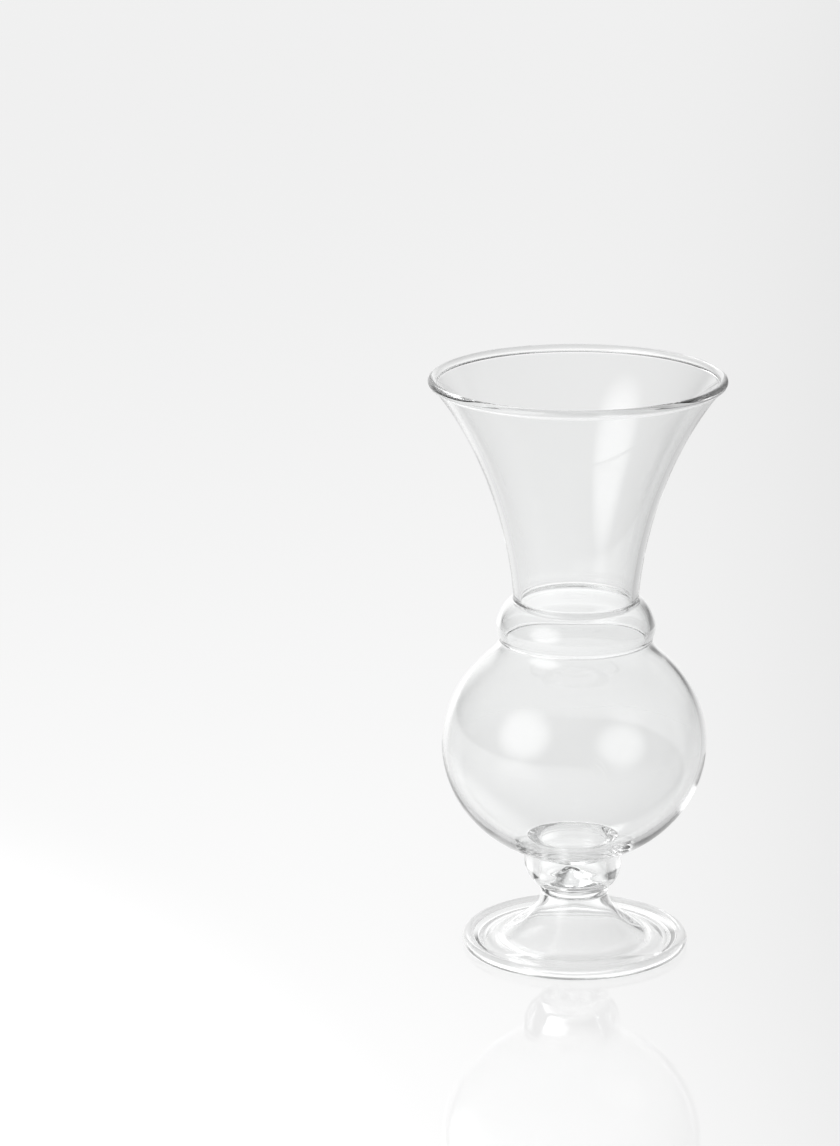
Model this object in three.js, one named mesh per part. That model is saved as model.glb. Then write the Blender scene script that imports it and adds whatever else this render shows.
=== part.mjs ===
// Trumpet vase in clear blown glass: six sections of revolution, sealed end to end on one upright axis.
// Millimetres, +Z up, the foot rests on z = 0. Every outline below is drawn as (radius, height).
import * as THREE from 'three';

// Foot: a low hollow cone flared to a disc, with a rolled edge.
const footDiameter = 77.6;
const footRollDiameter = 3.8; // the rolled edge
const footSeatWidth = 1.6; // flat ring on the roll, where the vase rests
const footHeight = 19; // floor to the seal
const footDiscLift = 3.05; // top of the disc
const footDiscWall = 1.9;
const footConeDiameter = 50.6; // the corner between cone and disc
const footConeSlope = 42; // degrees above level, low on the cone
const footConeStraight = 7.4; // how far up from the corner that slope is felt
const footStemDrop = 7.8; // how far down the cone keeps to the neck's width
const footFillet = 2; // how far each side of a corner it is rounded
const footHollowDiameter = 48.4; // the corner between the hollow and the disc, underneath
const footHollowSlope = 40; // degrees above level, low in the hollow
const footHollowStraight = 8; // how far up from the corner that slope is felt
const footBoreDrop = 5.5; // how far down the hollow keeps to the bore's width

// Seal: the ring of hot glass that fastens the foot to the knop.
const neckDiameter = 23;
const boreDiameter = 17.6; // the foot's hollow runs up through the neck to the knop
const sealThickness = 2;
const sealBulge = 0.35;

// Knop: a thick cup, open into the globe.
const knopDiameter = 33.4;
const knopHeight = 13.2;
const knopHeelHeight = 8; // where the rounded heel meets the upright side
const knopHeelFullness = 0.79; // 0.5 is a straight cone, 1 a square corner
const knopWall = 5.2; // round the cavity, which runs straight up into the globe
const knopRoofRise = 0.9; // of the hollow's domed top, in the knop's underside
const knopRoofFullness = 0.75; // share of the bore over which that top is nearly flat
const knopFloor = 2.2;
const pointHeight = 4.2; // the drawn-up point on the cavity's floor
const pointDiameter = 16.8;
const pointWaist = 7.6; // its sides are drawn in towards this
const pointWaistRise = 1.05; // at this height
const pointTip = 3.2; // and its round tip is about this wide

// Globe: an upright ellipsoid, whose shoulder turns up into a short neck.
const globeDiameter = 90.2;
const globeHeight = 81.8; // if it were closed at both ends
const globeWall = 1.8;
const globeShoulderAngle = 46.8; // degrees above the equator where the neck begins
const globeNeckRise = 7.3;
const globeBottomWall = 3; // the glass thickens down to this at the bottom
const globeFunnelDiameter = 27.2; // where the inside turns down into the knop

// Collar: a blown ring with a coned shoulder.
const grooveDiameter = 51.8; // the waist between globe and collar
const collarDiameter = 53.4;
const collarWaistRise = 5; // waist to the widest ring
const collarHeight = 13.9;
const collarWall = 2.1;
const collarFullness = 3.6; // how far above the widest ring the side stays upright
const collarShoulderPull = 3.7; // how far below the throat's lean is felt

// Trumpet: a throat that flares to the mouth and ends in a melted bead.
const throatDiameter = 42.9;
const throatFlare = 0.5; // the throat's foot spreads by this much to meet the collar
const throatFlareLean = 26; // degrees from upright, where they meet
const throatFlareRise = 3; // height over which it spreads
const mouthDiameter = 100;
const trumpetHeight = 76.8;
const throatWall = 2.3;
const lipWall = 1.75;
const lipBeadDiameter = 2.5;
const lipLean = 39; // degrees from upright, at the lip
const throatPull = 24; // height up to which the throat stays slim
const lipPull = 26; // how far down the lip's lean is felt

// Facets
const turns = 48; // round the axis
const halfBodySteps = 6; // up half of the globe's side
const longSteps = 9; // along a long curve
const mediumSteps = 5;
const shortSteps = 4;
const filletSteps = 2; // round a small corner
const beadSteps = 8; // round a bead
const samePoint = 1e-6; // points closer than this are one

const radians = THREE.MathUtils.degToRad;
const at = (radius, height) => new THREE.Vector2(radius, height);

// Sizes that follow from the ones above
const footRadius = footDiameter / 2;
const footRoll = footRollDiameter / 2;
const neckRadius = neckDiameter / 2;
const boreRadius = boreDiameter / 2;
const knopRadius = knopDiameter / 2;
const cavityRadius = knopRadius - knopWall;
const grooveRadius = grooveDiameter / 2;
const throatRadius = throatDiameter / 2;
const throatSealRadius = throatRadius + throatFlare;
const globeRadius = globeDiameter / 2;
const globeHalfHeight = globeHeight / 2;
const globeBase = Math.acos(knopRadius / globeRadius); // angle below the equator where the knop is sealed on
const globeShoulder = radians(globeShoulderAngle);
const globeCentre = globeHalfHeight * Math.sin(globeBase);
const globeSealHeight = globeCentre + globeHalfHeight * Math.sin(globeShoulder) + globeNeckRise;

// Outline helpers

function curve(steps, ...points) {
  const Shape = points.length === 4 ? THREE.CubicBezierCurve : THREE.QuadraticBezierCurve;
  return new Shape(...points).getPoints(steps);
}

// A step of some length, leaning outward from upright.
function lean(degrees, length) {
  const angle = radians(degrees);
  return at(length * Math.sin(angle), length * Math.cos(angle));
}

// An ellipse arc round `centre`, from one angle to another above its equator.
function ellipseArc(steps, centre, across, up, from, to) {
  return Array.from({ length: steps + 1 }, (_, i) => {
    const angle = THREE.MathUtils.lerp(from, to, i / steps);
    return at(centre.x + across * Math.cos(angle), centre.y + up * Math.sin(angle));
  });
}

// The bead at the end of a wall, drawn from the wall's outer face round to its inner one.
// The wall arrives along the unit vector `along`, with its outer face on the right.
function beadRound(centre, radius, along, wall) {
  const side = at(along.y, -along.x).multiplyScalar(wall / 2);
  const back = along.clone().multiplyScalar(-Math.sqrt(radius ** 2 - (wall / 2) ** 2));
  const start = back.clone().add(side).angle();
  const end = back.clone().sub(side).angle();
  const sweep = THREE.MathUtils.euclideanModulo(end - start, 2 * Math.PI);
  return ellipseArc(beadSteps, centre, radius, radius, start, start + sweep);
}

// The inner face of a wall: each point of the outer face moves square to it by the wall's thickness.
// The first and last points move level, so that a cut end stays flat.
function innerFace(outer, wallAtStart, wallAtEnd) {
  const last = outer.length - 1;
  return outer.map((point, i) => {
    const wall = THREE.MathUtils.lerp(wallAtStart, wallAtEnd, i / last);
    if (i === 0 || i === last) return at(point.x - wall, point.y);
    const along = outer[i + 1].clone().sub(outer[i - 1]).normalize();
    return at(point.x - wall * along.y, point.y + wall * along.x);
  });
}

// Turns an outline into a solid. The outline runs up the outside and back down the inside.
function revolve(points) {
  const outline = points.filter((point, i) => i === 0 || point.distanceTo(points[i - 1]) > samePoint);
  if (outline[0].x > 0) outline.push(outline[0].clone());
  return new THREE.LatheGeometry(outline, turns);
}

function makeTrumpet() {
  const beadRadius = lipBeadDiameter / 2;
  const beadCentre = at(mouthDiameter / 2 - beadRadius, trumpetHeight - beadRadius);
  const bead = beadRound(beadCentre, beadRadius, lean(lipLean, 1), lipWall);
  const lip = bead[0];
  const flareTurn = at(throatRadius, throatFlare / Math.tan(radians(throatFlareLean)));
  const throat = at(throatRadius, throatFlareRise);
  const flare = curve(shortSteps, at(throatSealRadius, 0), flareTurn, throat);
  const lipTurn = lip.clone().sub(lean(lipLean, lipPull));
  const horn = curve(longSteps, throat, at(throatRadius, throatPull), lipTurn, lip);
  const outer = [...flare, ...horn.slice(1)];
  const inner = innerFace(outer, throatWall, lipWall);
  inner[inner.length - 1] = bead[beadSteps];
  return revolve([...outer, ...bead, ...inner.reverse()]);
}

function makeCollar() {
  const collarRadius = collarDiameter / 2;
  const widest = at(collarRadius, collarWaistRise);
  const waist = curve(shortSteps, at(grooveRadius, 0), at(collarRadius, collarWaistRise / 2), widest);
  const turn = at(collarRadius, collarWaistRise + collarFullness);
  const top = at(throatSealRadius, collarHeight);
  const pull = lean(throatFlareLean, collarShoulderPull);
  const topTurn = at(top.x + pull.x, top.y - pull.y);
  const shoulder = curve(mediumSteps, widest, turn, topTurn, top);
  const outer = [...waist, ...shoulder.slice(1)];
  return revolve([...outer, ...innerFace(outer, collarWall, throatWall).reverse()]);
}

function makeGlobe() {
  const centre = at(0, globeCentre);
  const body = ellipseArc(2 * halfBodySteps, centre, globeRadius, globeHalfHeight, -globeBase, globeShoulder);
  const shoulder = body[body.length - 1];
  const slope = (globeRadius / globeHalfHeight) * Math.tan(globeShoulder); // radius lost for each mm of rise
  const turn = at(grooveRadius, shoulder.y + (shoulder.x - grooveRadius) / slope);
  const neck = curve(shortSteps, shoulder, turn, at(grooveRadius, globeSealHeight));

  // Inside, the same body less the wall, which is thicker at the bottom, and a turn down into the knop.
  const across = globeRadius - globeWall;
  const down = globeHalfHeight - globeBottomWall;
  const funnel = Math.acos(globeFunnelDiameter / 2 / across);
  const lower = ellipseArc(halfBodySteps, centre, across, down, -funnel, 0);
  const upper = ellipseArc(halfBodySteps, centre, across, globeHalfHeight - globeWall, 0, globeShoulder);
  const floorSlope = down / across / Math.tan(funnel);
  const floorTurn = at(cavityRadius, lower[0].y - floorSlope * (lower[0].x - cavityRadius));
  const floor = curve(shortSteps, at(cavityRadius, 0), floorTurn, lower[0]);
  const neckInside = innerFace(neck, globeWall, collarWall).slice(1); // the body's inner face leads into it
  const inside = [...floor, ...lower, ...upper, ...neckInside];
  return revolve([...body, ...neck, ...inside.reverse()]);
}

function makeKnop() {
  const heelTurn = at(
    THREE.MathUtils.lerp(neckRadius, knopRadius, knopHeelFullness),
    knopHeelHeight * (1 - knopHeelFullness),
  );
  const heel = curve(shortSteps, at(neckRadius, 0), heelTurn, at(knopRadius, knopHeelHeight));
  const roofTurn = at(boreRadius * knopRoofFullness, knopRoofRise);
  const roof = curve(filletSteps, at(0, knopRoofRise), roofTurn, at(boreRadius, 0));
  const outer = [...roof, ...heel, at(knopRadius, knopHeight)];

  // Inside, from the mouth down to the floor, then up to the drawn point.
  const pointRadius = pointDiameter / 2;
  const cavityCorner = cavityRadius - pointRadius;
  const mouth = at(cavityRadius, knopHeight);
  const floor = curve(
    shortSteps,
    at(cavityRadius, knopFloor + cavityCorner),
    at(cavityRadius, knopFloor),
    at(pointRadius, knopFloor),
  );
  const point = curve(
    shortSteps,
    at(pointRadius, knopFloor),
    at(pointWaist / 2, knopFloor + pointWaistRise),
    at(pointTip / 2, knopFloor + pointHeight),
    at(0, knopFloor + pointHeight),
  );
  return revolve([...outer, mouth, ...floor, ...point]);
}

function makeFootSeal() {
  const belly = at(neckRadius + 2 * sealBulge, sealThickness / 2);
  const side = curve(shortSteps, at(neckRadius, 0), belly, at(neckRadius, sealThickness));
  return revolve([at(boreRadius, 0), ...side, at(boreRadius, sealThickness)]);
}

function makeFoot() {
  // The rolled edge, open where the disc runs into it and cut flat where the vase rests.
  const rollHeight = Math.sqrt(footRoll ** 2 - (footSeatWidth / 2) ** 2);
  const roll = at(footRadius - footRoll, rollHeight);
  const seat = Math.asin(rollHeight / footRoll);
  const discTop = Math.PI - Math.asin((footDiscLift - rollHeight) / footRoll);
  const discUnder = Math.PI + Math.asin((footDiscWall + rollHeight - footDiscLift) / footRoll);
  const edge = ellipseArc(beadSteps, roll, footRoll, footRoll, -seat, discTop);
  const heel = ellipseArc(shortSteps, roll, footRoll, footRoll, discUnder, Math.PI + seat);

  // The top: a rounded corner between disc and cone, then up the cone to the seal.
  const coneCorner = at(footConeDiameter / 2, footDiscLift);
  const coneStart = coneCorner.clone().add(lean(footConeSlope - 90, footFillet));
  const corner = curve(filletSteps, at(coneCorner.x + footFillet, footDiscLift), coneCorner, coneStart);
  const cone = curve(
    longSteps,
    coneStart,
    coneStart.clone().add(lean(footConeSlope - 90, footConeStraight)),
    at(neckRadius, footHeight - footStemDrop),
    at(neckRadius, footHeight),
  );

  // Underneath, from the bore down and round the hollow's corner to the disc.
  const hollowCorner = at(footHollowDiameter / 2, footDiscLift - footDiscWall);
  const hollowEnd = hollowCorner.clone().add(lean(footHollowSlope - 90, footFillet));
  const hollow = curve(
    longSteps,
    at(boreRadius, footHeight),
    at(boreRadius, footHeight - footBoreDrop),
    hollowEnd.clone().add(lean(footHollowSlope - 90, footHollowStraight)),
    hollowEnd,
  );
  const under = curve(filletSteps, hollowEnd, hollowCorner, at(hollowCorner.x + footFillet, hollowCorner.y));
  return revolve([...hollow, ...under, ...heel, ...edge, ...corner, ...cone]);
}

const clearGlass = () => new THREE.MeshStandardMaterial({
  color: 0xf4f7f6,
  roughness: 0.03,
  metalness: 0,
  transparent: true,
  opacity: 0.3,
});

const vase = new THREE.Group();

// The sections from the floor up, each with its height between seals.
const sections = [
  ['foot', makeFoot, footHeight],
  ['foot_seal', makeFootSeal, sealThickness],
  ['knop', makeKnop, knopHeight],
  ['globe', makeGlobe, globeSealHeight],
  ['collar', makeCollar, collarHeight],
  ['trumpet', makeTrumpet, trumpetHeight],
];

let level = 0;
for (const [name, make, height] of sections) {
  const section = new THREE.Mesh(make(), clearGlass());
  section.name = name;
  section.position.z = level;
  section.geometry.rotateX(Math.PI / 2); // a lathe turns about Y, and this part stands on Z
  vase.add(section);
  level += height;
}

export default vase;
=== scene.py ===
import math

import bpy
from mathutils import Matrix, Vector


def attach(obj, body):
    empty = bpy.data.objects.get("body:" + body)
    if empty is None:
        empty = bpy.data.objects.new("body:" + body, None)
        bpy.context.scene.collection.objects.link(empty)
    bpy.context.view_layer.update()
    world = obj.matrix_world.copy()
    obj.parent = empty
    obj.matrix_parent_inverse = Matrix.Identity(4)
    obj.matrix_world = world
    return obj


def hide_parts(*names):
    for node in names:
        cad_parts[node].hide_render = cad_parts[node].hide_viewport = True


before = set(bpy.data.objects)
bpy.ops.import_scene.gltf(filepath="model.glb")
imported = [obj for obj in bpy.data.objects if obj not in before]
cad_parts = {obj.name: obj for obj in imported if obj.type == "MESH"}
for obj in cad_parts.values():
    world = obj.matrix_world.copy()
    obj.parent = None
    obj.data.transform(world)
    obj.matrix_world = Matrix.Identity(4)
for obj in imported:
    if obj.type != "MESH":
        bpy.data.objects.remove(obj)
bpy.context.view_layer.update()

# Sizes below are in millimetres unless a note says otherwise. Blender's own unit here is the metre.
mm = 0.001
scene = bpy.context.scene
scene.view_settings.view_transform = "Standard"
# Light runs a long way inside a glass wall, and every path that is cut short shows as a black line.
bounces = 72
for kind in ("max_bounces", "transmission_bounces", "glossy_bounces", "transparent_max_bounces"):
    setattr(scene.cycles, kind, bounces)


# Wraps one output socket, so that + - * / on it add Math nodes.
class Socket:
    def __init__(self, tree, out):
        self.tree, self.out = tree, out

    def math(self, operation, *others):
        return self.tree.add(
            "ShaderNodeMath", {"operation": operation}, dict(enumerate((self, *others))),
        )

    def __add__(self, other):
        return self.math("ADD", other)

    def __sub__(self, other):
        return self.math("SUBTRACT", other)

    def __rsub__(self, other):
        return self.tree.add("ShaderNodeMath", {"operation": "SUBTRACT"}, {0: other, 1: self})

    def __mul__(self, other):
        return self.math("MULTIPLY", other)

    def __truediv__(self, other):
        return self.math("DIVIDE", other)

    def __rtruediv__(self, other):
        return self.tree.add("ShaderNodeMath", {"operation": "DIVIDE"}, {0: other, 1: self})

    __radd__ = __add__
    __rmul__ = __mul__


# A node tree of any kind: a material's, the world's or a Geometry Nodes group.
class Tree:
    def __init__(self, tree):
        self.tree, self.nodes, self.links = tree, tree.nodes, tree.links
        self.nodes.clear()

    # Adds a node: its settings first, then the values or links of its sockets.
    # Gives back one of its outputs.
    def add(self, kind, settings=None, sockets=None, out=0):
        node = self.nodes.new(kind)
        for key, value in (settings or {}).items():
            setattr(node, key, value)
        for key, value in (sockets or {}).items():
            if isinstance(value, Socket):
                self.links.new(value.out, node.inputs[key])
            else:
                node.inputs[key].default_value = value
        return Socket(self, node.outputs[out]) if len(node.outputs) else node


def shaderTree(owner):
    owner.use_nodes = True
    return Tree(owner.node_tree)


# Outlines. Each is a list of (radius, height), measured from the section's own lower seal.
# It goes up the outside and down the inside, and a ring's outline ends where it began.

# A Bezier curve through any number of control points, in so many steps.
def curve(*points, steps):
    made = []
    for i in range(steps + 1):
        t = i / steps
        layer = list(points)
        while len(layer) > 1:
            layer = [
                (a[0] + (b[0] - a[0]) * t, a[1] + (b[1] - a[1]) * t) for a, b in zip(layer, layer[1:])
            ]
        made.append(layer[0])
    return made


# A step of some length, leaning outward from upright.
def lean(degrees, length):
    return length * math.sin(math.radians(degrees)), length * math.cos(math.radians(degrees))


# Part of an ellipse, from one angle to another in radians.
def ellipseArc(centre, across, up, start, end, steps):
    angles = [start + (end - start) * i / steps for i in range(steps + 1)]
    return [(centre[0] + across * math.cos(a), centre[1] + up * math.sin(a)) for a in angles]


# The bead at the end of a wall that arrives along the unit vector `along`.
def beadRound(centre, radius, along, wall, steps):
    back = -math.sqrt(radius ** 2 - (wall / 2) ** 2)
    side = (along[1] * wall / 2, -along[0] * wall / 2)
    start = math.atan2(along[1] * back + side[1], along[0] * back + side[0])
    end = math.atan2(along[1] * back - side[1], along[0] * back - side[0])
    end = start + (end - start) % (2 * math.pi)
    return ellipseArc(centre, radius, radius, start, end, steps)


# The inside of a wall whose thickness changes evenly along its outside.
def innerFace(outer, wallAtStart, wallAtEnd):
    last = len(outer) - 1
    made = []
    for i, (r, z) in enumerate(outer):
        wall = wallAtStart + (wallAtEnd - wallAtStart) * i / last
        if i in (0, last):
            made.append((r - wall, z))
            continue
        dr, dz = outer[i + 1][0] - outer[i - 1][0], outer[i + 1][1] - outer[i - 1][1]
        size = math.hypot(dr, dz)
        made.append((r - wall * dz / size, z + wall * dr / size))
    return made


# 0 up to low, 1 from high on, and a soft step between them.
def smooth(low, high, value):
    t = min(1, max(0, (value - low) / (high - low)))
    return t * t * (3 - 2 * t)


foot = {
    "width": 77.6, "height": 19, "wall": 1.9,
    "discTop": 3.05,           # height of the flat part of the disc
    "roll": 1.9,               # radius of the rolled edge
    "seat": 1.6,               # width of the flat ring that it rests on
    "cone": 25.3,              # radius of the corner between cone and disc
    "coneSlope": 42,           # degrees above the disc
    "coneStraight": 7.4, "stemDrop": 7.8,      # how far the cone and the stem run on straight
    "hollow": 24.2,            # the same corner underneath
    "hollowSlope": 40, "hollowStraight": 8,
    "bore": 8.8, "boreDrop": 5.5,
    "fillet": 2,               # how far both corners are rounded
}


def footOutline():
    roll, top, wall = foot["roll"], foot["discTop"], foot["wall"]
    lift = math.sqrt(roll ** 2 - (foot["seat"] / 2) ** 2)
    centre = (foot["width"] / 2 - roll, lift)
    seat = math.asin(lift / roll)
    discTop = math.pi - math.asin((top - lift) / roll)
    discUnder = math.pi + math.asin((wall + lift - top) / roll)
    edge = ellipseArc(centre, roll, roll, -seat, discTop, steps=28)
    heel = ellipseArc(centre, roll, roll, discUnder, math.pi + seat, steps=12)

    fillet, height = foot["fillet"], foot["height"]
    across, up = lean(foot["coneSlope"] - 90, 1)
    corner = (foot["cone"], top)
    start = (corner[0] + across * fillet, top + up * fillet)
    run = foot["coneStraight"]
    cone = curve(
        start, (start[0] + across * run, start[1] + up * run),
        (seal["radius"], height - foot["stemDrop"]), (seal["radius"], height), steps=44,
    )
    coneFillet = curve((corner[0] + fillet, top), corner, start, steps=10)

    across, up = lean(foot["hollowSlope"] - 90, 1)
    corner = (foot["hollow"], top - wall)
    end = (corner[0] + across * fillet, corner[1] + up * fillet)
    run = foot["hollowStraight"]
    hollow = curve(
        (foot["bore"], height), (foot["bore"], height - foot["boreDrop"]),
        (end[0] + across * run, end[1] + up * run), end, steps=44,
    )
    under = curve(end, corner, (corner[0] + fillet, corner[1]), steps=10)
    return hollow + under + heel + edge + coneFillet + cone + hollow[:1]


seal = {
    "radius": 11.5, "thickness": 2,
    "bulge": 0.35,             # how far its middle stands out
}


def sealOutline():
    r, t, bore = seal["radius"], seal["thickness"], foot["bore"]
    side = curve((r, 0), (r + 2 * seal["bulge"], t / 2), (r, t), steps=14)
    return [(bore, 0)] + side + [(bore, t), (bore, 0)]


knop = {
    "radius": 16.7, "height": 13.2,
    "heel": 8, "heelFullness": 0.79,           # height and squareness of the rounded heel
    "cavity": 11.5, "floor": 2.2,              # radius of the cup, and height of its floor
    "roof": 0.9, "roofFullness": 0.75,         # domed top of the foot's hollow
    # the point drawn up from the floor: its radii and heights at the foot, the waist and the tip
    "point": 8.4, "pointHeight": 4.4, "pointWaist": 4.4, "pointWaistRise": 2.2, "pointTip": 0.4,
}


def knopOutline():
    r, h, low, bore = knop["radius"], knop["height"], knop["floor"], foot["bore"]
    full = knop["heelFullness"]
    turn = (seal["radius"] + (r - seal["radius"]) * full, knop["heel"] * (1 - full))
    heel = curve((seal["radius"], 0), turn, (r, knop["heel"]), steps=28)
    side = curve((r, knop["heel"]), (r, h), steps=8)
    cavity, point = knop["cavity"], knop["point"]
    mouth = curve((cavity, h), (cavity, low + cavity - point), steps=10)
    floor = curve((cavity, low + cavity - point), (cavity, low), (point, low), steps=16)
    tip = curve(
        (point, low), (knop["pointWaist"], low + knop["pointWaistRise"]),
        (knop["pointTip"], low + knop["pointHeight"]), (0, low + knop["pointHeight"]), steps=24,
    )
    dome = (bore * knop["roofFullness"], knop["roof"])
    roof = curve((0, knop["roof"]), dome, (bore, 0), steps=12)
    return roof + heel + side + mouth + floor + tip


globe = {
    "width": 90.2, "height": 81.8,             # as if it were closed at both ends
    "wall": 1.8, "bottomWall": 3,
    "shoulder": 46.8,                          # degrees above the equator where the neck begins
    "neckRise": 7.3,
    "funnel": 13.6,                            # radius where the inside turns down into the knop
}


def globeOutline():
    across, up = globe["width"] / 2, globe["height"] / 2
    base = math.acos(knop["radius"] / across)
    turn = math.radians(globe["shoulder"])
    centre = (0, up * math.sin(base))
    body = ellipseArc(centre, across, up, -base, turn, steps=90)
    slope = across / up * math.tan(turn)
    corner = (collar["groove"], body[-1][1] + (body[-1][0] - collar["groove"]) / slope)
    neck = curve(body[-1], corner, (collar["groove"], globeRise()), steps=16)

    acrossIn, down = across - globe["wall"], up - globe["bottomWall"]
    funnel = math.acos(globe["funnel"] / acrossIn)
    lower = ellipseArc(centre, acrossIn, down, -funnel, 0, steps=50)
    upper = ellipseArc(centre, acrossIn, up - globe["wall"], 0, turn, steps=50)
    steep = down / acrossIn / math.tan(funnel)
    mouth = knop["cavity"]
    bend = (mouth, lower[0][1] - steep * (lower[0][0] - mouth))
    floor = curve((mouth, 0), bend, lower[0], steps=20)
    inside = floor + lower + upper + innerFace(neck, globe["wall"], collar["wall"])[1:]
    return body + neck + inside[::-1] + body[:1]


# The globe's height between its two seals.
def globeRise():
    across, up = globe["width"] / 2, globe["height"] / 2
    base = math.acos(knop["radius"] / across)
    return up * (math.sin(base) + math.sin(math.radians(globe["shoulder"]))) + globe["neckRise"]


collar = {
    "groove": 26,                              # radius of the crease between it and the globe
    "radius": 27.1, "waistRise": 4.6, "height": 13.9, "wall": 2.1,
    "fullness": 1.8,                           # how far its bulge runs on upwards
    "shoulderPull": 4.4, "shoulderLean": 60,   # how far and at what lean it comes up to the throat
}


def collarOutline():
    r, low, high = collar["radius"], collar["waistRise"], collar["height"]
    waist = curve((collar["groove"], 0), (r, low / 2), (r, low), steps=16)
    top = trumpet["throat"] + trumpet["flare"]
    across, up = lean(collar["shoulderLean"], collar["shoulderPull"])
    full = (r, low + collar["fullness"])
    shoulder = curve((r, low), full, (top + across, high - up), (top, high), steps=30)
    outer = waist + shoulder[1:]
    inner = innerFace(outer, collar["wall"], trumpet["throatWall"] + trumpet["flare"])
    return outer + inner[::-1] + outer[:1]


trumpet = {
    "throat": 21.2, "throatWall": 2.3,
    "throatPull": 24, "throatLean": 4,         # how far and at what lean it sets out from the throat
    "flare": 0.2, "flareRise": 0.7,            # where its outside spreads to meet the collar
    "mouth": 100, "height": 76.8,
    "lipWall": 1.75, "bead": 1.45,             # the bead's radius
    "lipLean": 39, "lipPull": 26,              # the same at the lip
}


def trumpetOutline():
    bead, throat, flare = trumpet["bead"], trumpet["throat"], trumpet["flare"]
    centre = (trumpet["mouth"] / 2 - bead, trumpet["height"] - bead)
    ring = beadRound(centre, bead, lean(trumpet["lipLean"], 1), trumpet["lipWall"], steps=24)
    pull = lean(trumpet["lipLean"], trumpet["lipPull"])
    across, up = lean(trumpet["throatLean"], trumpet["throatPull"])
    start = (throat, trumpet["flareRise"])
    spread = curve((throat + flare, 0), (throat, trumpet["flareRise"] / 3), start, steps=14)
    side = curve(
        start, (start[0] + across, start[1] + up),
        (ring[0][0] - pull[0], ring[0][1] - pull[1]), ring[0], steps=80,
    )
    inner = innerFace([(throat, 0)] + side, trumpet["throatWall"], trumpet["lipWall"])
    inner[-1] = ring[-1]
    return spread + side[1:] + ring[1:] + inner[-2::-1] + spread[:1]


glass = {
    "ior": 1.473,
    "tint": (0.985, 0.989, 0.988, 1),
    # The faint waves that blowing leaves: height and width in metres, and how far they are drawn out.
    "reamHeight": 0.00006, "reamWidth": 0.022, "reamStretch": 0.45,
    "reamDetail": 1.5, "reamRoughness": 0.4,
    # Where the foot has rubbed on shelves, up to these heights in metres.
    "seatRoughness": 0.56, "seatFull": 0.0001, "seatEnd": 0.0003, "seatSpecks": 1500.0,
}


def makeClearGlass():
    made = bpy.data.materials.new("clearGlass")
    tree = shaderTree(made)
    place = tree.add("ShaderNodeTexCoord", out="Object")
    drawn = tree.add("ShaderNodeMapping", sockets={"Vector": place, "Scale": (1, 1, glass["reamStretch"])})
    ream = tree.add(
        "ShaderNodeTexNoise", {"noise_dimensions": "3D"},
        {"Vector": drawn, "Scale": 1 / glass["reamWidth"],
         "Detail": glass["reamDetail"], "Roughness": glass["reamRoughness"]},
    )
    bump = tree.add(
        "ShaderNodeBump", sockets={"Strength": 1.0, "Distance": glass["reamHeight"], "Height": ream},
    )
    height = tree.add("ShaderNodeSeparateXYZ", sockets={"Vector": place}, out="Z")
    seat = tree.add(
        "ShaderNodeMapRange", {"clamp": True},
        {"Value": height, "From Min": glass["seatEnd"], "From Max": glass["seatFull"],
         "To Min": 0.0, "To Max": 1.0},
    )
    specks = tree.add(
        "ShaderNodeTexNoise", sockets={"Vector": place, "Scale": glass["seatSpecks"], "Detail": 2.0},
    )
    surface = tree.add(
        "ShaderNodeBsdfPrincipled",
        sockets={
            "Base Color": glass["tint"], "IOR": glass["ior"], "Transmission Weight": 1.0,
            "Roughness": seat * specks * glass["seatRoughness"], "Normal": bump,
        },
    )
    tree.add("ShaderNodeOutputMaterial", sockets={"Surface": surface})
    return made


# The glass of two sections runs together at a seal, so there is nothing to see there.
def makeFusedJoint():
    made = bpy.data.materials.new("fusedJoint")
    tree = shaderTree(made)
    surface = tree.add("ShaderNodeBsdfTransparent")
    tree.add("ShaderNodeOutputMaterial", sockets={"Surface": surface})
    return made


clearGlass, fusedJoint = makeClearGlass(), makeFusedJoint()
print("glass made")


# What handwork leaves. The lathe below reads these through its named inputs.
hand = {
    "Around": 224,             # faces round the axis
    "Bow": 0.8 * mm,           # how far the body stands left of the line from foot to mouth
    "Seal Wave": 0.33 * mm,    # how far the foot's seal runs up and down
    "Wall Wave": 0.12 * mm,    # how far the globe's inner face comes and goes
    "Wave Length": 26 * mm,
    "Tip Across": -0.8 * mm,   # how far the knop's point is drawn off the axis
    "Tip Back": 0.2 * mm,
    "Tip Ridge": 0.6 * mm,     # height of its uneven ridges
    "Seed": 4.0,
}
# Each wave round the axis: how many times, its share and its start in radians.
sealWaves = [(2, 1.0, 0.97), (3, 0.6, 2.67), (5, 0.35, -0.63)]
tipWaves = [(3, 1.0, 1.05), (2, 0.5, -1.0)]
waveStretch = (1, 1, 0.6)      # the globe's waves are drawn out upwards
# Where each kind of handwork comes in or dies away, from one height or radius to the other.
zones = {
    "bowStarts": (17, 32), "bowEases": (40, 115), "bowEnds": (150, 195),
    "bowEased": 0.8,           # share of the bow that is gone at the collar
    "sealHeight": 20, "sealReach": 1.7, "sealInside": (8, 11), "sealOutside": (14, 17),
    "tipFull": 4, "tipTop": 6, "ridgeInside": (0, 3),
    "wallEnds": (0, 12),       # counted in points along the globe's inside
}


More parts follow.
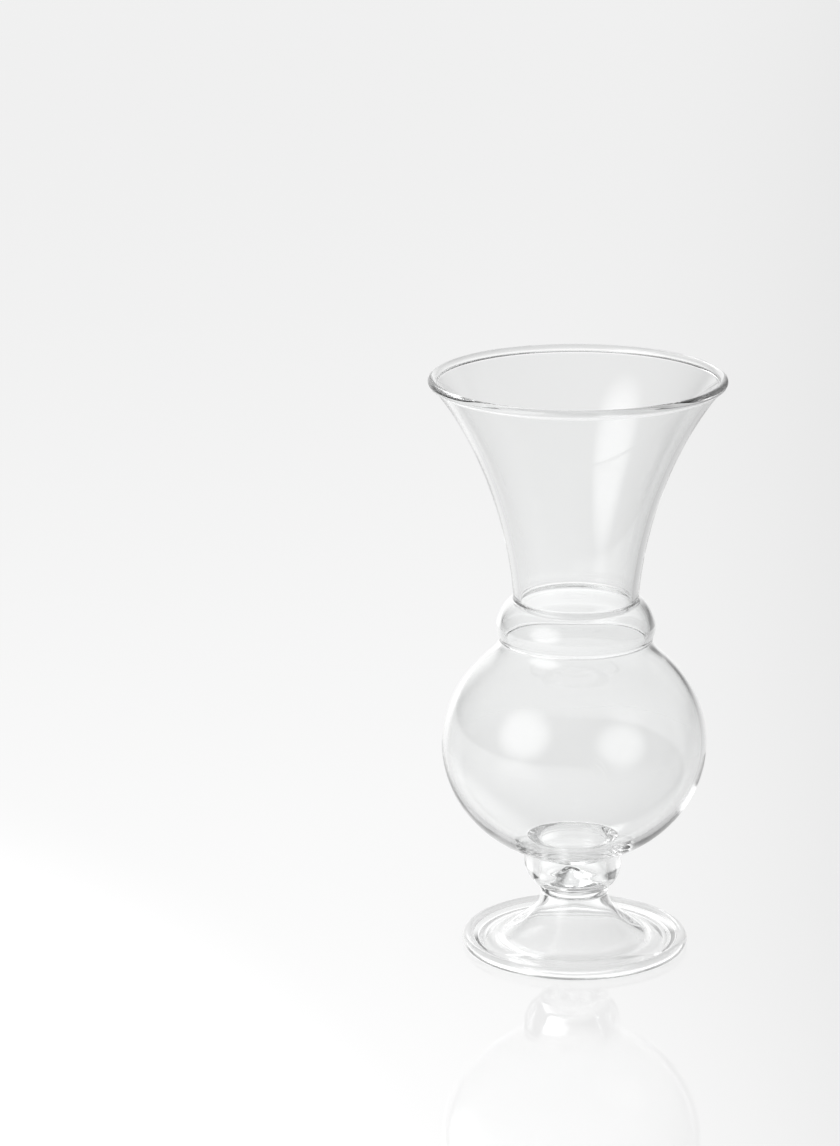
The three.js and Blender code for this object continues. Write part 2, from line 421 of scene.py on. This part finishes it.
# How much of each kind of handwork a point of the outline takes, from its radius, height and place.
def handWeights(r, z, inner):
    rise = z - foot["height"] - seal["thickness"] - knop["floor"]
    tip = 0
    if r < knop["point"] and 0 < rise < zones["tipTop"]:
        tip = rise / knop["pointHeight"] * (1 - smooth(zones["tipFull"], knop["point"], r))
    bow = smooth(*zones["bowStarts"], z) * (1 - zones["bowEased"] * smooth(*zones["bowEases"], z))
    ring = math.exp(-((z - zones["sealHeight"]) / zones["sealReach"]) ** 2)
    return {
        "bowWeight": bow * (1 - smooth(*zones["bowEnds"], z)),
        "sealWeight": ring * smooth(*zones["sealInside"], r) * (1 - smooth(*zones["sealOutside"], r)),
        "wallWeight": inner,
        "tipWeight": tip,
        "ridgeWeight": tip * smooth(*zones["ridgeInside"], r),
    }


# A Geometry Nodes lathe. The object's own mesh is the outline, whose points carry those weights.
# Points nearer than mergeReach become one, and faces within sealReach of a seal's height are in it.
mergeReach, sealReach = 1e-6, 2e-6             # metres


def makeLathe():
    group = bpy.data.node_groups.new("glassLathe", "GeometryNodeTree")
    tree = Tree(group)
    kinds = {"Around": "NodeSocketInt", "Glass": "NodeSocketMaterial", "Joint": "NodeSocketMaterial"}
    group.interface.new_socket("Geometry", in_out="OUTPUT", socket_type="NodeSocketGeometry")
    group.interface.new_socket("Geometry", in_out="INPUT", socket_type="NodeSocketGeometry")
    for name in [*hand, "Lower Seal", "Upper Seal", "Glass", "Joint"]:
        kind = kinds.get(name, "NodeSocketFloat")
        group.interface.new_socket(name, in_out="INPUT", socket_type=kind)
    given = tree.nodes.new("NodeGroupInput")

    def value(name):
        return Socket(tree, given.outputs[name])

    def named(name):
        return tree.add("GeometryNodeInputNamedAttribute", {"data_type": "FLOAT"}, {"Name": name})

    def store(body, name, domain, value):
        return tree.add(
            "GeometryNodeStoreNamedAttribute", {"data_type": "FLOAT", "domain": domain},
            {"Geometry": body, "Name": name, "Value": value},
        )

    def parts(vector):
        return [tree.add("ShaderNodeSeparateXYZ", sockets={"Vector": vector}, out=i) for i in "XYZ"]

    def vector(x, y, z):
        return tree.add("ShaderNodeCombineXYZ", sockets={0: x, 1: y, 2: z})

    def waves(angle, kinds):
        total = 0.0
        for times, share, start in kinds:
            total = (angle * times - start).math("COSINE") * share + total
        return total

    # A grid's points are numbered along the outline first.
    # So the number gives the place on the outline and the turn.
    outline, around = value("Geometry"), value("Around")
    count = tree.add("GeometryNodeAttributeDomainSize", {"component": "MESH"}, {"Geometry": outline})
    sheet = tree.add("GeometryNodeMeshGrid", sockets={"Vertices X": around + 1, "Vertices Y": count})
    number = tree.add("GeometryNodeInputIndex")
    column = (number / count).math("FLOOR")
    row = number - column * count
    angle = column.math("MODULO", around) * (2 * math.pi) / around

    def sample(kind, field):
        return tree.add(
            "GeometryNodeSampleIndex", {"data_type": kind, "domain": "POINT"},
            {"Geometry": outline, "Value": field, "Index": row},
        )

    radius, _, height = parts(sample("FLOAT_VECTOR", tree.add("GeometryNodeInputPosition")))
    turned = vector(radius * angle.math("COSINE"), radius * angle.math("SINE"), height)
    body = tree.add("GeometryNodeSetPosition", sockets={"Geometry": sheet, "Position": turned})
    for name in handWeights(0, 0, 0):
        body = store(body, name, "POINT", sample("FLOAT", named(name)))
    body = tree.add(
        "GeometryNodeMergeByDistance", sockets={"Geometry": body, "Distance": mergeReach},
    )

    # The faces in a seal are found before the handwork moves them.
    place = tree.add("GeometryNodeInputPosition")
    x, y, z = parts(place)
    near = [
        (z - value(name)).math("ABSOLUTE").math("LESS_THAN", sealReach)
        for name in ("Lower Seal", "Upper Seal")
    ]
    body = store(body, "fused", "FACE", near[0].math("MAXIMUM", near[1]))

    # The handwork moves the points.
    angle = y.math("ARCTAN2", x)
    drawn = tree.add("ShaderNodeVectorMath", {"operation": "MULTIPLY"}, {0: place, 1: waveStretch})
    noise = tree.add(
        "ShaderNodeTexNoise", {"noise_dimensions": "4D"},
        {"Vector": drawn, "W": value("Seed"), "Scale": 1 / value("Wave Length"), "Detail": 0.0},
    )
    swell = (noise - 0.5) * 2 * value("Wall Wave") * named("wallWeight")
    tip = named("tipWeight")
    moved = vector(
        swell * angle.math("COSINE") + tip * value("Tip Across") - named("bowWeight") * value("Bow"),
        swell * angle.math("SINE") + tip * value("Tip Back"),
        named("sealWeight") * value("Seal Wave") * waves(angle, sealWaves)
        + named("ridgeWeight") * value("Tip Ridge") * waves(angle, tipWaves),
    )
    body = tree.add("GeometryNodeSetPosition", sockets={"Geometry": body, "Offset": moved})

    fused = named("fused")
    body = tree.add("GeometryNodeSetShadeSmooth", sockets={"Geometry": body, "Shade Smooth": 1 - fused})
    body = tree.add("GeometryNodeRealizeInstances", sockets={"Geometry": body})
    body = tree.add("GeometryNodeSetMaterial", sockets={"Geometry": body, "Material": value("Glass")})
    body = tree.add(
        "GeometryNodeSetMaterial",
        sockets={"Geometry": body, "Selection": fused, "Material": value("Joint")},
    )
    tree.add("NodeGroupOutput", sockets={"Geometry": body})
    return group


leastStep = 1e-3               # outline points nearer than this to the one before are dropped


# Turns one section's outline, given from its own lower seal, into a closed plain mesh.
def turnSection(name, outline, level, rise):
    outline = [p for i, p in enumerate(outline) if i == 0 or math.dist(p, outline[i - 1]) > leastStep]
    last = len(outline) - 1
    mesh = bpy.data.meshes.new(name)
    mesh.from_pydata(
        [(r * mm, 0, (z + level) * mm) for r, z in outline], [(i, i + 1) for i in range(last)], [],
    )
    top = max(range(len(outline)), key=lambda i: outline[i][1])
    weights = []
    for i, (r, z) in enumerate(outline):
        fromEnds = min(i - top - 1, last - 1 - i)  # points along the inside from its nearer end
        inner = smooth(*zones["wallEnds"], fromEnds) if name == "globeGlass" else 0
        weights.append(handWeights(r, z + level, inner))
    for kind in weights[0]:
        layer = mesh.attributes.new(kind, "FLOAT", "POINT")
        layer.data.foreach_set("value", [w[kind] for w in weights])
    piece = bpy.data.objects.new(name, mesh)
    scene.collection.objects.link(piece)

    given = {**hand, "Lower Seal": level * mm, "Upper Seal": (level + rise) * mm,
             "Glass": clearGlass, "Joint": fusedJoint}
    modifier = piece.modifiers.new("lathe", "NODES")
    modifier.node_group = lathe
    for socket in lathe.interface.items_tree:
        if socket.item_type == "SOCKET" and socket.in_out == "INPUT" and socket.name in given:
            modifier[socket.identifier] = given[socket.name]
    depsgraph = bpy.context.evaluated_depsgraph_get()
    turned = bpy.data.meshes.new_from_object(piece.evaluated_get(depsgraph))
    piece.modifiers.remove(modifier)
    piece.data = turned
    turned.name = name
    for kind in [*weights[0], "fused"]:
        turned.attributes.remove(turned.attributes[kind])
    return piece


lathe = makeLathe()
level = 0
sections = [
    ("footGlass", "foot", footOutline(), foot["height"]),
    ("sealGlass", "foot_seal", sealOutline(), seal["thickness"]),
    ("knopGlass", "knop", knopOutline(), knop["height"]),
    ("globeGlass", "globe", globeOutline(), globeRise()),
    ("collarGlass", "collar", collarOutline(), collar["height"]),
    ("trumpetGlass", "trumpet", trumpetOutline(), trumpet["height"]),
]
for name, node, outline, rise in sections:
    piece = turnSection(name, outline, level, rise)
    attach(piece, "root")
    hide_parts(node)
    print(name, "made,", len(piece.data.polygons), "faces, from", round(level, 2), "mm")
    level += rise


studio = {
    # The floor lies a hair below the foot. In one plane with the foot's ring it would be missed
    # by rays that leave the glass downwards. Both in metres.
    "floorWidth": 24, "floorDrop": 0.00005,
    "floorColour": 0.08,       # of its diffuse light, which keeps the shadow
    "floorIor": 1.4, "floorRoughness": 0.025,
    "floorToneAndPaintedLight": 0.88,         # the floor's pale tone for looked rays, and a painted pool of light where it is brightest
    # The painted light fades away from the viewer, and into painted shade to the right of a line that
    # leans off to the right.
    "glowNear": -0.25, "glowDepth": 1.8,       # metres
    "glowRight": -0.15, "glowWidth": 0.4, "glowLean": 0.08,
    "glowPower": 3,            # how suddenly the painted shade sets in on the right
    "glowRest": 0.05,          # share that is left everywhere
    "floorLight": 0.9,         # what falls on the floor
    "room": 0.05,              # what the glass sees of the room
    # Soft lights. Azimuth, to the right from behind the camera, and elevation, then the angle that it
    # fills and the angle where it has died away, all in degrees, and its strength.
    "glows": [
        (187, 8, 12, 33, 0.95),    # the pale backdrop
        (190, 29, 5, 11, 2.1),     # a small light above it, which the foot's disc mirrors
        (-52, 24, 8, 29, 2.3),     # a large soft light on the left
        (-80, 60, 10, 70, 0.15),
        (100, 5, 15, 40, 0.2),
        (145, 18, 5, 25, 0.4),     # greys the right edges
    ],
}


def direction(azimuth, elevation):
    a, e = math.radians(azimuth), math.radians(elevation)
    return Vector((math.sin(a) * math.cos(e), -math.cos(a) * math.cos(e), math.sin(e)))


# 1 for what is looked at, straight or through and in the glass, and 0 for light on a surface.
def lookedRay(tree):
    camera, glossy, through = [
        tree.add("ShaderNodeLightPath", out=ray)
        for ray in ("Is Camera Ray", "Is Glossy Ray", "Is Transmission Ray")
    ]
    return camera.math("MAXIMUM", glossy).math("MAXIMUM", through)


def makeFloor():
    bpy.ops.mesh.primitive_plane_add(size=studio["floorWidth"], location=(0, 0, -studio["floorDrop"]))
    floor = bpy.context.object
    floor.name = "floor"
    made = bpy.data.materials.new("paleTable")
    tree = shaderTree(made)
    place = tree.add("ShaderNodeTexCoord", out="Object")
    x, y = [tree.add("ShaderNodeSeparateXYZ", sockets={"Vector": place}, out=i) for i in "XY"]
    # Painted light on the floor's emission: a pool of light brightest near the viewer and on the left,
    # with painted shade to the right and far off.
    deep = ((y - studio["glowNear"]) / studio["glowDepth"]).math("ABSOLUTE")
    right = ((x - y * studio["glowLean"] - studio["glowRight"]) / studio["glowWidth"]).math("MAXIMUM", 0)
    fading = 1 + deep + right.math("POWER", studio["glowPower"])
    rest = studio["glowRest"]
    glow = studio["floorToneAndPaintedLight"] * (rest + (1 - rest) / fading)
    grey = studio["floorColour"]
    surface = tree.add(
        "ShaderNodeBsdfPrincipled",
        sockets={
            "Base Color": (grey, grey, grey, 1),
            "Roughness": studio["floorRoughness"], "IOR": studio["floorIor"],
            "Emission Color": glow * lookedRay(tree), "Emission Strength": 1.0,
        },
    )
    tree.add("ShaderNodeOutputMaterial", sockets={"Surface": surface})
    floor.data.materials.append(made)


def makeWorld():
    world = bpy.data.worlds.new("studio")
    scene.world = world
    tree = shaderTree(world)
    place = tree.add("ShaderNodeTexCoord", out="Generated")
    light = studio["room"]
    for azimuth, elevation, inner, outer, strength in studio["glows"]:
        facing = tree.add(
            "ShaderNodeVectorMath", {"operation": "DOT_PRODUCT"},
            {0: place, 1: direction(azimuth, elevation)}, "Value",
        )
        light = light + tree.add(
            "ShaderNodeMapRange", {"interpolation_type": "SMOOTHSTEP"},
            {"Value": facing, "From Min": math.cos(math.radians(outer)),
             "From Max": math.cos(math.radians(inner)), "To Min": 0.0, "To Max": strength},
        )
    white = (1, 1, 1, 1)
    plain = tree.add("ShaderNodeBackground", sockets={"Color": white, "Strength": studio["floorLight"]})
    seen = tree.add("ShaderNodeBackground", sockets={"Color": white, "Strength": light})
    mixed = tree.add("ShaderNodeMixShader", sockets={0: lookedRay(tree), 1: plain, 2: seen})
    tree.add("ShaderNodeOutputWorld", sockets={"Surface": mixed})


# Fitted to the rim and foot ellipses of the photograph.
view = {
    "place": (-0.0528, -1.3604, 0.5184),       # metres
    "pitch": 15.85, "roll": -0.257,            # degrees
    "focal": 4196 / 1146,                      # focal length in picture heights
    "sensor": 36,
}


def makeCamera():
    data = bpy.data.cameras.new("camera")
    data.sensor_width, data.lens = view["sensor"], view["focal"] * view["sensor"]
    camera = bpy.data.objects.new("camera", data)
    pitch, roll = math.radians(view["pitch"]), math.radians(view["roll"])
    turn = Matrix.Rotation(math.pi / 2 - pitch, 4, "X") @ Matrix.Rotation(roll, 4, "Z")
    camera.matrix_world = Matrix.Translation(view["place"]) @ turn
    scene.collection.objects.link(camera)
    scene.camera = camera


makeFloor()
makeWorld()
makeCamera()
print("studio made")
